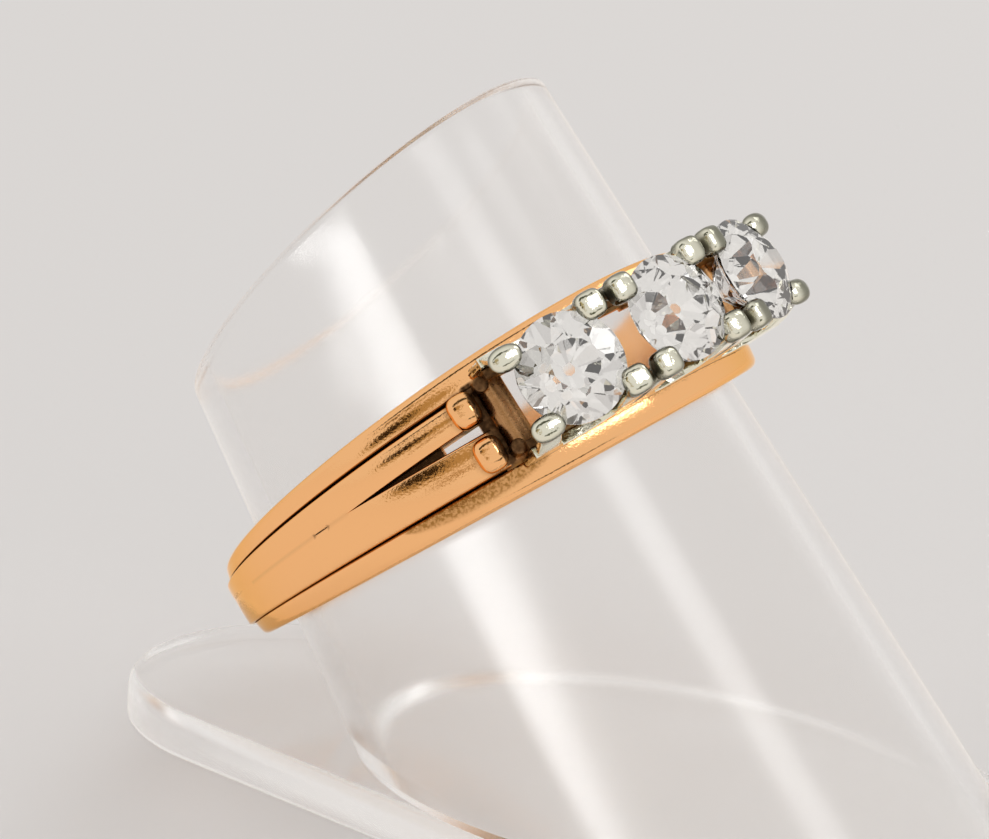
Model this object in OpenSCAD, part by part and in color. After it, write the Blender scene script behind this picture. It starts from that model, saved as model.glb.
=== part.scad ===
// Three stone ring on a leaning clear ring stand.
// Millimetres, +Z up. The origin is on the underside of the foot, straight below
// the point where the axis of the tube meets the top of the foot.
// The ring is drawn in a frame of its own: its axis is Z, its middle stone lies
// on +X, and place_ring() hangs it on the tube.

/* [Band] */
// Inner diameter of the ring, where the finger goes
bore_d = 17.6; // [15.5:0.1:20]
// Thickness of the rails from the bore to the outside
rail_t = 1.1; // [0.9:0.05:1.5]
// Width over both rails beside the middle stone
width_head = 5.24; // [5:0.02:6]
// Width of the band at the back
width_back = 1.95; // [1.6:0.05:2.6]
// Radius of the rounded outer corners of the rails
corner_r = 0.35; // [0.2:0.05:0.45]
// How far the inner strands stand above the rails at their tips
strand_rise = 0.7; // [0.4:0.05:0.9]
// Height of the inner strands above the rails at the back
strand_back = 0.05; // [0.03:0.01:0.1]
// Width of the two grooves between rails and strands
groove_w = 0.2; // [0.14:0.02:0.36]
// Depth of those grooves
groove_depth = 0.38; // [0.2:0.02:0.5]
// Angle from the middle stone at which the slot between the strands begins
slot_start = 66; // [55:1:75]
// Width of that slot at the tips of the strands
slot_w = 0.44; // [0.3:0.02:0.6]
// Angle over which that slot is open right through, from the tips of the strands
slot_open = 12; // [6:1:16]
// Angle from an end stone to the tips of the strands
end_angle = 14.4; // [14.2:0.1:17]
// Diameter of the pillow tip on each strand
tip_d = 1.25; // [0.9:0.05:1.35]
// Height of the pillow tip above its strand
tip_h = 0.42; // [0.25:0.01:0.5]

/* [Stones] */
// Diameter of each stone
stone_d = 3.82; // [3.4:0.02:4]
// Height of the girdles above the bore
girdle_rise = 4.12; // [3.9:0.02:4.4]
// Gap between neighbouring girdles
stone_gap = 0.79; // [0.7:0.01:1]
// Height of the crown above the girdle
crown_h = 0.66; // [0.5:0.02:0.8]
// Depth of the pavilion below the girdle
pavilion_h = 1.68; // [1.4:0.02:1.75]
// Thickness of the girdle
girdle_t = 0.07; // [0.04:0.01:0.12]
// Diameter of the table
table_d = 1.8; // [1.6:0.02:2.2]
// Diameter of the open culet
culet_d = 0.4; // [0.2:0.02:0.6]

/* [Setting] */
// How far the head sits off the middle of the band
head_shift = 0.17; // [0:0.01:0.2]
// Thickness of each white gold side plate
plate_t = 0.36; // [0.3:0.02:0.4]
// How far the plates stand inside the edge of the stones
plate_inset = 0.36; // [0.3:0.02:0.44]
// Thickness of the yellow gold wall inside each plate
wall_t = 0.32; // [0.25:0.01:0.35]
// Height of those walls above the rails
wall_rise = 1.6; // [1.3:0.05:1.8]
// Width of a claw
claw_w = 0.94; // [0.75:0.01:0.96]
// Height of the claw tips above the girdle
claw_rise = 0.46; // [0.35:0.01:0.55]
// How far the middle of a claw stands inside the edge of its stone, along the band
claw_inset = 0.25; // [0.2:0.01:0.3]
// How far the claw tips lean in over the stone from the plate's inner face
claw_hook = 0.5; // [0.4:0.01:0.54]
// How much further the four end claws lean in at their tips
end_hook = 0.2; // [0:0.02:0.24]
// Diameter of the gold bar across each end of the head
bar_d = 0.96; // [0.7:0.02:1.05]
// Angle from the tips of the strands to those bars
bar_back = 4.3; // [3.9:0.1:5]
// Diameter of the four small posts behind the strand tips
post_d = 0.56; // [0.4:0.02:0.6]
// Radius of the arched windows under the stones
arch_r = 1.35; // [1.1:0.05:1.5]
// Gap left between pieces that touch on the real ring
seam = 0.03; // [0.02:0.01:0.05]

/* [Stand] */
// Lean of the tube above the horizontal
lean = 52; // [48:0.5:58]
// How much smaller than the bore the tube is where the ring sits
tube_slack = 0.5; // [0.4:0.02:1.2]
// Half angle of the tube's taper
taper = 4; // [2.5:0.05:4.4]
// Wall of the tube
tube_wall = 0.8; // [0.6:0.05:1.2]
// Length of the tube along its axis, from the foot to the middle of its open end
tube_len = 21.6; // [19:0.1:24]
// Slant of the open end
cut_slant = 15.6; // [0:0.2:18]
// Thickness of the foot
foot_t = 1.6; // [1.2:0.1:2.5]
// Margin of the foot beside the tube
foot_side = 0.8; // [0.6:0.02:2]
// Margin of the foot behind the tube
foot_behind = 0.68; // [0.3:0.02:1.5]
// Radius of the foot's narrow front end
foot_front_r = 6.4; // [4:0.1:7.5]
// Reach of the front end from the origin
foot_reach = 21; // [19.5:0.1:26]
// Place of the ring along the tube, from the foot
ring_place = 12.9; // [12.2:0.05:13.4]
// Turn of the middle stone from the top of the tube towards the viewer
ring_turn = 20; // [0:1:40]
// Gap between the bore and the top of the tube, where the ring hangs
seat_gap = 0.05; // [0.03:0.01:0.1]

/* [Hidden] */
$fn = 96;

bore_r = bore_d / 2;
outer_r = bore_r + rail_t;
far = 4 * outer_r;
girdle_r = bore_r + girdle_rise;
stone_r = stone_d / 2;
stone_pitch = 2 * asin((stone_d + stone_gap) / 2 / girdle_r);
strand_end = stone_pitch + end_angle;
bar_angle = strand_end - bar_back;
// The band's side faces are flat and spread towards the head.
mid_half = (width_head + width_back) / 4;
spread = (width_head - width_back) / (4 * outer_r);
function half_w(x) = mid_half + spread * x;

// The outside of the strands is a circle pushed towards the head.
strand_top_r = outer_r + strand_rise;
strand_off = (strand_rise - strand_back) / (1 + cos(strand_end));
strand_r = outer_r + strand_back + strand_off;
groove_share = 0.59;
tip_angle = strand_end + 2.3;
tip_in = strand_top_r * cos(tip_angle);
slot_tail = outer_r * cos(slot_start);
slot_mouth = strand_top_r * cos(strand_end);
line_depth = 0.12;

web_r = outer_r - 0.35;

wall_top_r = outer_r + wall_rise;
plate_in = stone_r - plate_inset;
claw_out = stone_r - claw_inset;
wall_out = plate_in - seam;
wall_in = wall_out - wall_t;
floor_r = outer_r - rail_t / 4;
head_end = bar_angle + 0.6;
slot_bottom_r = wall_top_r - 0.5;
claw_top_r = girdle_r + claw_rise;
scallop_r = claw_out - claw_w / 2 + 0.03;
strip_in = plate_in + 0.02;
strip_t = plate_t - 0.06;
scallop_bottom_r = outer_r + 0.4;
slit_w = 0.36;

sides = 8;
step = 360 / sides;

// Radius of the tube at a distance s along its axis from the foot.
function tube_r(s) = bore_r - tube_slack / 2 - (s - ring_place) * tan(taper);
hang = bore_r * cos(taper) - tube_r(ring_place + bore_r * sin(taper)) - seat_gap / cos(taper);

// Where the upper line of the tube meets the top of the foot.
root_s = -tube_r(0) * cos(lean) / (sin(lean) - tan(taper) * cos(lean));
root_x = tube_r(root_s) * sin(lean) - root_s * cos(lean);
foot_back_r = tube_r(0) + foot_side;
foot_back_x = root_x + foot_behind - foot_back_r;

// A slab with flat faces that spread like the sides of the band.
module wedge(share) {
    past = 1.4 * outer_r;
    rotate([90, 0, 0])
        linear_extrude(2 * far, center = true)
            polygon([
                [-past, -share * half_w(-past)],
                [past, -share * half_w(past)],
                [past, share * half_w(past)],
                [-past, share * half_w(-past)]
            ]);
}

// A flat sector about the head, half_angle to each side.
module sector(half_angle) {
    polygon([
        [0, 0],
        [far, -far * tan(half_angle)],
        [far, far * tan(half_angle)]
    ]);
}

// A ring-shaped cutter that rounds the outer corner of one rail in two steps.
module corner_tool(side) {
    knee = 0.29 * corner_r;
    past = 1.71 * corner_r;
    translate([0, 0, side * mid_half])
        rotate([0, -side * atan(spread), 0])
            mirror([0, 0, side > 0 ? 0 : 1])
                rotate_extrude()
                    polygon([
                        [outer_r - past, knee],
                        [outer_r - knee, -knee],
                        [outer_r + knee, -past],
                        [outer_r + past, -past],
                        [outer_r + past, past],
                        [outer_r - past, past]
                    ]);
}

// A ring-shaped cutter for the groove between a rail and its strand.
module groove_tool(side) {
    flare = 0.05;
    translate([0, 0, side * groove_share * mid_half])
        rotate([0, -side * atan(groove_share * spread), 0])
            rotate_extrude()
                polygon([
                    [outer_r - groove_depth, 0],
                    [outer_r, -groove_w / 2],
                    [outer_r + 2 * strand_rise, -groove_w / 2 - flare],
                    [outer_r + 2 * strand_rise, groove_w / 2 + flare],
                    [outer_r, groove_w / 2]
                ]);
}

// The faint line where the two strands join at the back.
module joint_line() {
    translate([strand_off, 0, head_shift])
        rotate_extrude()
            polygon([
                [strand_r - line_depth, 0],
                [strand_r + line_depth, -line_depth],
                [strand_r + line_depth, line_depth]
            ]);
}

// The slot between the strands. It narrows to nothing at its tail.
module slot_wedge() {
    rotate([90, 0, 0])
        linear_extrude(2 * far, center = true)
            polygon([
                [slot_tail, head_shift],
                [slot_mouth, head_shift + slot_w / 2],
                [far, head_shift + slot_w / 2],
                [far, head_shift - slot_w / 2],
                [slot_mouth, head_shift - slot_w / 2]
            ]);
}

// The part of the slot that is cut: right through beside the tips, and down to a web behind them.
module strand_slot() {
    difference() {
        slot_wedge();
        linear_extrude(2 * width_head, center = true)
            sector(strand_end);
        difference() {
            cylinder(h = 2 * width_head, r = web_r, center = true);
            linear_extrude(4 * width_head, center = true)
                sector(strand_end + slot_open);
        }
    }
}

// The rounded pillow at the end of a strand.
module strand_tip(hand, side) {
    slot_edge = head_shift * side + slot_w / 2;
    groove_edge = groove_share * half_w(tip_in);
    ball_r = tip_d * 0.8;
    root = 0.4;
    rotate([0, 0, hand * tip_angle])
        translate([strand_top_r, 0, side * (slot_edge + groove_edge) / 2])
            rotate([0, 90, 0])
                intersection() {
                    translate([0, 0, tip_h - ball_r])
                        sphere(ball_r);
                    translate([0, 0, -root])
                        cylinder(h = root + 2 * tip_h, d = tip_d);
                }
}

// The flat outline shared by the gold walls of the head.
module wall_outline() {
    difference() {
        intersection() {
            difference() {
                circle(wall_top_r);
                circle(bore_r);
            }
            sector(head_end);
        }
        slits(slot_bottom_r);
    }
}

// The two slits between neighbouring stones.
module slits(bottom_r) {
    for (hand = [-1, 1])
        rotate(hand * stone_pitch / 2) {
            translate([bottom_r + slit_w / 2, 0])
                circle(d = slit_w);
            translate([bottom_r + slit_w / 2, -slit_w / 2])
                square([far, slit_w]);
        }
}

module head_walls() {
    for (side = [-1, 1])
        translate([0, 0, head_shift + side * (wall_in + wall_t / 2)])
            linear_extrude(wall_t, center = true)
                wall_outline();
}

// The windows under the stones and the hollow between the walls.
module head_windows() {
    translate([0, 0, head_shift]) {
        linear_extrude(2 * wall_in, center = true)
            sector(bar_angle);
        linear_extrude(2 * wall_in, center = true)
            difference() {
                sector(strand_end);
                circle(floor_r);
            }
        linear_extrude(2 * wall_out, center = true)
            for (turn = [-stone_pitch, 0, stone_pitch])
                rotate(turn)
                    translate([bore_r, 0])
                        circle(arch_r);
    }
}

module end_bars() {
    for (hand = [-1, 1])
        rotate([0, 0, hand * bar_angle]) {
            translate([outer_r + bar_d / 4, 0, head_shift])
                cylinder(h = wall_in + wall_out, d = bar_d, center = true);
            for (side = [-1, 1])
                rotate([0, 0, hand * 1.4])
                    translate([floor_r - 0.5, 0, head_shift + side * wall_in])
                        rotate([0, 90, 0])
                            cylinder(h = wall_top_r - floor_r + 0.2, d = post_d);
        }
}

// Rails, strands and gold walls, soldered into one piece.
module shank_solid() {
    difference() {
        union() {
            intersection() {
                cylinder(h = 2 * width_head, r = outer_r, center = true);
                wedge(1);
            }
            intersection() {
                translate([strand_off, 0, 0])
                    cylinder(h = 2 * width_head, r = strand_r, center = true);
                wedge(groove_share);
                linear_extrude(2 * width_head, center = true)
                    difference() {
                        circle(2 * outer_r);
                        sector(strand_end);
                    }
            }
        }
        cylinder(h = 4 * width_head, r = bore_r, center = true);
        corner_tool(1);
        corner_tool(-1);
        groove_tool(1);
        groove_tool(-1);
        joint_line();
        strand_slot();
        head_windows();
    }
    for (hand = [-1, 1])
        for (side = [-1, 1])
            strand_tip(hand, side);
    difference() {
        head_walls();
        head_windows();
    }
    end_bars();
}

// A brilliant in the old European cut. Its axis is Z and its girdle lies at height 0.
// clear grows it evenly, for the seats that the claws need.
module cut_stone(clear = 0) {
    r = stone_r + clear;
    g = girdle_t / 2 + clear;
    top = girdle_t / 2 + crown_h + clear;
    bottom = girdle_t / 2 + pavilion_h + clear;
    table_r = table_d / 2 + clear;
    culet_r = culet_d / 2 + clear;
    star_r = 0.7 * r;
    half_r = 0.62 * r;
    flat = cos(step / 2);
    star_z = g + (top - g) * (r - star_r * flat) / (r - table_r);
    half_z = -g - (bottom - g) * (r - half_r * flat) / (r - culet_r * flat);
    function ring_of(n, radius, z, turn) = [
        for (i = [0:n - 1])
            let (a = i * 360 / n + turn) [radius * cos(a), radius * sin(a), z]
    ];
    points = concat(
        ring_of(sides, table_r, top, step / 2),
        ring_of(sides, star_r, star_z, 0),
        ring_of(2 * sides, r, g, 0),
        ring_of(2 * sides, r, -g, 0),
        ring_of(sides, half_r, half_z, 0),
        ring_of(sides, culet_r, -bottom, 0)
    );
    star = sides;
    up = 2 * sides;
    low = 4 * sides;
    half = 6 * sides;
    culet = 7 * sides;
    faces = concat(
        [[for (i = [sides - 1:-1:0]) i]],
        [for (i = [0:sides - 1]) [(i + sides - 1) % sides, i, star + i]],
        [for (i = [0:sides - 1]) [i, up + 2 * i + 1, star + i]],
        [for (i = [0:sides - 1]) [i, star + (i + 1) % sides, up + 2 * i + 1]],
        [for (i = [0:sides - 1]) [star + i, up + 2 * i + 1, up + 2 * i]],
        [for (i = [0:sides - 1]) [star + i, up + 2 * i, up + (2 * i + 2 * sides - 1) % (2 * sides)]],
        [for (i = [0:2 * sides - 1]) [up + i, up + (i + 1) % (2 * sides), low + (i + 1) % (2 * sides)]],
        [for (i = [0:2 * sides - 1]) [up + i, low + (i + 1) % (2 * sides), low + i]],
        [for (i = [0:sides - 1]) [half + i, low + 2 * i, low + 2 * i + 1]],
        [for (i = [0:sides - 1]) [half + i, low + (2 * i + 2 * sides - 1) % (2 * sides), low + 2 * i]],
        [for (i = [0:sides - 1]) [half + i, low + 2 * i + 1, half + (i + 1) % sides]],
        [for (i = [0:sides - 1]) [half + i, half + (i + 1) % sides, culet + (i + 1) % sides]],
        [for (i = [0:sides - 1]) [half + i, culet + (i + 1) % sides, culet + i]],
        [[for (i = [0:sides - 1]) culet + i]]
    );
    polyhedron(points, faces, convexity = 2);
}

// Stone number place, from -1 to 1, in the ring's frame.
module set_stone(place, clear = 0) {
    rotate([0, 0, place * stone_pitch])
        translate([girdle_r, 0, head_shift])
            rotate([0, 90, 0])
                cut_stone(clear);
}

// The side view of a claw: a leg that hooks in over the girdle.
// x runs outwards from the plate's inner face and y up from the plate's foot.
// extra is how much further in the tip leans, above the top of the gold wall.
module claw_profile(extra) {
    top = claw_top_r - outer_r;
    neck = wall_top_r + 0.1 - outer_r;
    side_points = [
        [plate_t, neck],
        [plate_t, top - 0.7],
        [plate_t - 0.1, top - 0.32],
        [plate_t - 0.3, top - 0.06],
        [plate_t - 0.5, top],
        [-claw_hook + 0.12, top - 0.1],
        [-claw_hook, top - 0.36],
        [-claw_hook, top - 0.7],
        [-wall_t, neck + 0.1]
    ];
    polygon(concat(
        [[plate_t, 0]],
        [for (p = side_points) [p.x - extra * (p.y - neck) / (top - neck), p.y]],
        [[0, neck], [0, 0]]
    ));
}

// One claw beside its stone. out is its side along the band.
module claw(out, side, extra) {
    base_r = outer_r + seam;
    straight = claw_top_r - outer_r - claw_w / 2;
    translate([base_r, out * claw_out, head_shift + side * plate_in])
        intersection() {
            rotate([90, 0, 0])
                mirror([0, side > 0 ? 0 : 1, 0])
                    rotate([0, 0, -90])
                        mirror([1, 0, 0])
                            linear_extrude(claw_w, center = true)
                                claw_profile(extra);
            linear_extrude(8 * plate_in, center = true) {
                translate([-1, -claw_w / 2])
                    square([straight + 1, claw_w]);
                translate([straight, 0])
                    circle(d = claw_w);
            }
        }
}

// The strip that joins the claws of one side, scalloped under each girdle.
module plate_outline() {
    difference() {
        intersection() {
            difference() {
                circle(girdle_r - 0.7);
                circle(outer_r + seam);
            }
            sector(head_end);
        }
        for (turn = [-stone_pitch, 0, stone_pitch])
            rotate(turn) {
                translate([scallop_bottom_r + scallop_r, 0])
                    circle(scallop_r);
                translate([scallop_bottom_r + scallop_r, -scallop_r])
                    square([far, 2 * scallop_r]);
            }
        slits(slot_bottom_r);
    }
}

module claw_plate(side) {
    difference() {
        union() {
            translate([0, 0, head_shift + side * (strip_in + strip_t / 2)])
                linear_extrude(strip_t, center = true)
                    plate_outline();
            for (place = [-1, 0, 1])
                for (out = [-1, 1])
                    rotate([0, 0, place * stone_pitch])
                        claw(out, side, place == out ? end_hook : 0);
        }
        for (place = [-1, 0, 1])
            set_stone(place, seam);
    }
}

// Hangs the ring on the upper line of the tube.
module place_ring() {
    translate([0, 0, foot_t])
        rotate([0, lean - 90, 0])
            translate([-hang, 0, ring_place])
                rotate([0, -taper, 0])
                    rotate([0, 0, -ring_turn])
                        children();
}

module shank() {
    color("#e8a96b")
        place_ring()
            shank_solid();
}

module claw_plate_near() {
    color("#d9d6cc")
        place_ring()
            claw_plate(-1);
}

module claw_plate_far() {
    color("#d9d6cc")
        place_ring()
            claw_plate(1);
}

module stone_left() {
    color("#f4f4f2")
        place_ring()
            set_stone(-1);
}

module stone_middle() {
    color("#f4f4f2")
        place_ring()
            set_stone(0);
}

module stone_right() {
    color("#f4f4f2")
        place_ring()
            set_stone(1);
}

// A cone about the tube's axis, drawn well past both ends.
module tube_cone(inset) {
    dip = 1.2 * bore_r;
    reach = tube_len + bore_r;
    translate([0, 0, -dip])
        cylinder(h = dip + reach, r1 = tube_r(-dip) - inset, r2 = tube_r(reach) - inset);
}

module stand_tube() {
    color("#e6e4e0", 0.35)
        difference() {
            translate([0, 0, foot_t])
                rotate([0, lean - 90, 0])
                    difference() {
                        tube_cone(0);
                        tube_cone(tube_wall);
                        translate([0, 0, tube_len])
                            rotate([0, -cut_slant, 0])
                                translate([-far, -far, 0])
                                    cube(2 * far);
                    }
            translate([-far, -far, foot_t + seam - 2 * far])
                cube(2 * far);
        }
}

module stand_foot() {
    color("#e6e4e0", 0.35)
        linear_extrude(foot_t)
            hull() {
                translate([foot_back_x, 0])
                    circle(foot_back_r);
                translate([foot_front_r - foot_reach, 0])
                    circle(foot_front_r);
            }
}

shank();
claw_plate_near();
claw_plate_far();
stone_left();
stone_middle();
stone_right();
stand_tube();
stand_foot();
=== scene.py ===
# %% [markdown]
# # A three stone ring on its clear stand
# This lesson dresses a small jewel: a yellow gold ring with three old-cut diamonds, hung on a leaning clear
# stand. The construction is loaded first and never changes. Every surface that shows is then worked out again
# with numpy, in more detail than a construction needs, and put exactly where the construction has it.

# %% Load the construction
from math import asin, atan, cos, pi, radians, sin, tan

import bmesh
import bpy
import numpy as np
from mathutils import Matrix, Vector


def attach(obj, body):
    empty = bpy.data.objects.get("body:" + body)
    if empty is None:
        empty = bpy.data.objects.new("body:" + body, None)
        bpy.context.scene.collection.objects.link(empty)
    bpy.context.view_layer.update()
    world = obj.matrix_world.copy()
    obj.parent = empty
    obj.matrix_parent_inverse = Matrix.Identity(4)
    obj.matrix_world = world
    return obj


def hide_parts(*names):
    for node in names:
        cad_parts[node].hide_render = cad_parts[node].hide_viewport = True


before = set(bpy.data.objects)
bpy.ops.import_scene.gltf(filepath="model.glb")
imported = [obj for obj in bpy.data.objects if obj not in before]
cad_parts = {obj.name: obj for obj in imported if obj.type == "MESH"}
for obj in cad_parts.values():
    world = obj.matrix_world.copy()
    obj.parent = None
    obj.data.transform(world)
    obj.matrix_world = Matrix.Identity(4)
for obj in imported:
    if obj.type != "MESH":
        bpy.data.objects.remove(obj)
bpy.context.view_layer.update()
print("nodes:", sorted(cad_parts))

# %% [markdown]
# The construction is in metres, and a ring is only 20 mm across. All sizes below are written in millimetres,
# as a jeweller would write them, and MM turns them into metres when a mesh is made.

# %% Sizes of the ring and of the stand, in millimetres
MM = 0.001
BORE_R = 8.8
OUTER_R = 9.9
WIDTH_HEAD = 5.24
WIDTH_BACK = 1.95
MID_HALF = (WIDTH_HEAD + WIDTH_BACK) / 4
SPREAD = (WIDTH_HEAD - WIDTH_BACK) / (4 * OUTER_R)
HEAD_SHIFT = 0.17
GIRDLE_R = 12.92
STONE_R = 1.91
STONE_GAP = 0.79
STONE_PITCH = 2 * asin((STONE_R + STONE_GAP / 2) / GIRDLE_R)
LEAN = radians(52)
TAPER = radians(4)
RING_PLACE = 12.9
RING_TURN = radians(20)
SEAT_GAP = 0.05
TUBE_R = BORE_R - 0.25 + RING_PLACE * tan(TAPER)
TUBE_WALL = 0.8
TUBE_LEN = 21.6
CUT_SLANT = radians(15.6)
FOOT_T = 1.6

# %% [markdown]
# The ring is drawn lying flat: its axis is Z and its middle stone points along X. Two matrices then hang it
# on the stand. The tube leans back, and the ring hangs from the tube's upper line, tilted by the tube's
# taper.

# %% Place the tube and the ring


def tube_r(s):
    """Outer radius of the tube at a distance s along its axis: it shrinks evenly."""
    return TUBE_R - s * tan(TAPER)


hang = BORE_R * cos(TAPER) - tube_r(RING_PLACE + BORE_R * sin(TAPER)) - SEAT_GAP / cos(TAPER)
TUBE_FRAME = Matrix.Translation((0, 0, FOOT_T)) @ Matrix.Rotation(LEAN - radians(90), 4, "Y")
RING_FRAME = (TUBE_FRAME @ Matrix.Translation((-hang, 0, RING_PLACE)) @ Matrix.Rotation(-TAPER, 4, "Y")
              @ Matrix.Rotation(-RING_TURN, 4, "Z"))
ring_centre = RING_FRAME @ Vector((0, 0, 0))
print("ring centre, mm:", [round(c, 3) for c in ring_centre])

# %% [markdown]
# The camera comes next, because it decides what counts. It looks at the ring almost edge on, from a little
# above the floor, through a long lens from 18 cm away, so the picture has hardly any perspective.

# %% The camera
VIEW_DISTANCE = 181.1
VIEW_BACK = Vector((0.43577, -0.84746, 0.30317))
VIEW_RIGHT = Vector((0.87407, 0.47881, 0.08207))
LENS = 187.9


def add_object(name, data):
    """A new object that is linked to the scene."""
    piece = bpy.data.objects.new(name, data)
    bpy.context.collection.objects.link(piece)
    return piece


camera = add_object("camera", bpy.data.cameras.new("camera"))
view_up = VIEW_BACK.cross(VIEW_RIGHT)
turn = Matrix((VIEW_RIGHT, view_up, VIEW_BACK)).transposed().to_4x4()
camera.matrix_world = Matrix.Translation((ring_centre + VIEW_DISTANCE * VIEW_BACK) * MM) @ turn
camera.data.lens = LENS
camera.data.sensor_width = 36
camera.data.shift_x = 0.0095
camera.data.shift_y = 0.0368
camera.data.clip_start = 0.01
camera.data.clip_end = 10
bpy.context.scene.camera = camera
bpy.context.scene.view_settings.view_transform = "Standard"
print("camera at, mm:", [round(c / MM, 1) for c in camera.matrix_world.translation])

# %% [markdown]
# Nearly every piece here is a closed skin over a grid of points: rows of sections, each section a closed
# loop. So one helper turns such a grid into a mesh. It closes the loop of each section, and it either joins
# the last section to the first, as on a ring, or caps both ends.

# %% Helpers that turn grids of points into meshes


def new_piece(name, points, faces, place=None):
    """A mesh object from an (n, 3) array in mm, moved by a matrix. Its object stays at the origin.
    Doubled points are merged, and every face is turned outwards."""
    if place is not None:
        points = points @ np.array(place.to_3x3()).T + np.array(place.translation)
    mesh = bpy.data.meshes.new(name)
    mesh.from_pydata((points * MM).tolist(), [], faces)
    mesh.update()
    work = bmesh.new()
    work.from_mesh(mesh)
    bmesh.ops.remove_doubles(work, verts=work.verts, dist=1e-9)
    bmesh.ops.dissolve_degenerate(work, edges=work.edges, dist=1e-9)
    bmesh.ops.recalc_face_normals(work, faces=work.faces)
    work.to_mesh(mesh)
    work.free()
    return add_object(name, mesh)


def skin(name, grid, looped, place=None):
    """Covers grid[i, j], section i and point j of its closed loop, with quads."""
    rows, cols = grid.shape[:2]
    index = np.arange(rows * cols).reshape(rows, cols)
    down = np.roll(index, -1, axis=0) if looped else index[1:]
    top = index if looped else index[:-1]
    quads = np.stack([top, np.roll(top, -1, axis=1), np.roll(down, -1, axis=1), down], axis=-1)
    faces = quads.reshape(-1, 4).tolist()
    if not looped:
        faces += [index[0, ::-1].tolist(), index[-1].tolist()]
    return new_piece(name, grid.reshape(-1, 3), faces, place)


def polar(r, angle, z):
    """Points from a radius, an angle about the ring's axis and a height along it."""
    r, angle, z = np.broadcast_arrays(r, angle, z)
    return np.stack([r * np.cos(angle), r * np.sin(angle), z], axis=-1)


def smooth_step(low, high, x):
    """0 below low, 1 above high, and 3t^2 - 2t^3 between."""
    t = np.clip((x - low) / (high - low), 0, 1)
    return t * t * (3 - 2 * t)


def bent(x, power):
    """Squares up a sine or a cosine: the size of x to the power 2 / power, with the sign of x."""
    return np.sign(x) * np.abs(x) ** (2 / power)


def combine(piece, others, operation="UNION"):
    """Joins or cuts piece with the others, as solids, and deletes them."""
    for other in others:
        step = piece.modifiers.new("join", "BOOLEAN")
        step.operation = operation
        step.solver = "MANIFOLD"
        step.object = other
    ready = piece.evaluated_get(bpy.context.evaluated_depsgraph_get())
    mesh = bpy.data.meshes.new_from_object(ready)
    piece.modifiers.clear()
    old = piece.data
    piece.data = mesh
    mesh.name = piece.name
    bpy.data.meshes.remove(old)
    for other in others:
        bpy.data.meshes.remove(other.data)


def shade(piece, sharp_angle):
    """Smooth shading that breaks at edges sharper than the angle in degrees."""
    piece.data.shade_smooth()
    piece.data.set_sharp_from_angle(angle=radians(sharp_angle))


# %% [markdown]
# ## The band
# The band is two rails with two strands between them. Its sides are flat and spread towards the head, so a
# height across the band is a share of the half width there. Between a rail and its strand runs a groove, deep
# beside the head and shallow at the back. The far one stays open all round, and the near one is a fine line
# that ends as a mere scratch.

# %% The rails
GROOVE_SHARE = 0.59
LAP = 0.02
CROWN = 0.05
RAIL_STEPS = 480
RAIL_CORNER = 0.34
BORE_EDGE = 0.16
# Measures that change round the band are given as a pair: beside the head, and at the back.
GROOVE_HALF = {-1: (0.03, 0.013), 1: (0.07, 0.065)}
GROOVE_DEPTH = {-1: (0.36, 0.05), 1: (0.36, 0.16)}
RAIL_LIP = (0.08, 0.03)


def plane(share, r, angle):
    """Height of a flat sloping plane: share of the band's half width at x = r cos(angle)."""
    return share * (MID_HALF + SPREAD * r * np.cos(angle))


def from_head(angle):
    """Angle from the middle stone, 0 to pi, whichever way round."""
    return np.abs((np.asarray(angle) + pi) % (2 * pi) - pi)


def towards_back(angle):
    """0 beside the head, 1 from the side of the ring on."""
    return smooth_step(radians(38), radians(112), from_head(angle))


def closing(ends, angle):
    """A measure that goes from its value a beside the head to its value b at the back: a + (b - a) t."""
    return ends[0] + (ends[1] - ends[0]) * towards_back(angle)


def rail(side):
    """A rail: its section is a closed loop from the bore, up the groove, over the crown and down the side."""
    angle = np.linspace(0, 2 * pi, RAIL_STEPS, endpoint=False)
    width = (1 - GROOVE_SHARE) * plane(1, OUTER_R, angle)
    corner = np.minimum(RAIL_CORNER, 0.4 * width)
    half = closing(GROOVE_HALF[side], angle)
    depth = closing(GROOVE_DEPTH[side], angle)
    lip = closing(RAIL_LIP, angle)
    top = OUTER_R - CROWN
    rows = []

    def add(share, along, r):
        rows.append(polar(r, angle, side * (plane(share, r, angle) + along)))

    add(GROOVE_SHARE, -LAP, BORE_R)
    add(GROOVE_SHARE, -LAP, OUTER_R - depth - LAP)
    add(GROOVE_SHARE, 0, OUTER_R - depth)
    add(GROOVE_SHARE, 0.85 * half, OUTER_R - 0.7 * depth)
    for t in np.linspace(0, pi / 2, 6):
        add(GROOVE_SHARE, half + lip * (1 - cos(t)), OUTER_R - lip * (1 - sin(t)))
    start = plane(GROOVE_SHARE, OUTER_R, angle) + half + lip
    stop = plane(1, OUTER_R, angle) - corner
    for t in np.linspace(0.12, 0.88, 7):
        add(0, start + (stop - start) * t, top + CROWN * (1 - t * t))
    for t in np.linspace(0, pi / 2, 9):
        add(1, -corner * (1 - sin(t)), top - corner * (1 - cos(t)))
    add(1, 0, BORE_R + 0.3)
    for t in np.linspace(0, pi / 2, 5):
        add(1, -BORE_EDGE * (1 - cos(t)), BORE_R + BORE_EDGE * (1 - sin(t)))
    add(1, -0.3, BORE_R)
    return skin("rail", np.stack(rows, axis=1), True, RING_FRAME)


rails = [rail(side) for side in (-1, 1)]
print("rail points:", len(rails[0].data.vertices))

# %% [markdown]
# The strands rise towards the head, so their outer circle is pushed that way. Between them a slot opens, as
# when a split shank is spread apart with a saw cut. The saw went right through only beside the tips. Further
# back it left a web, so the slot is a dark V, and behind its tail only a faint line shows where the strands
# meet.

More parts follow.
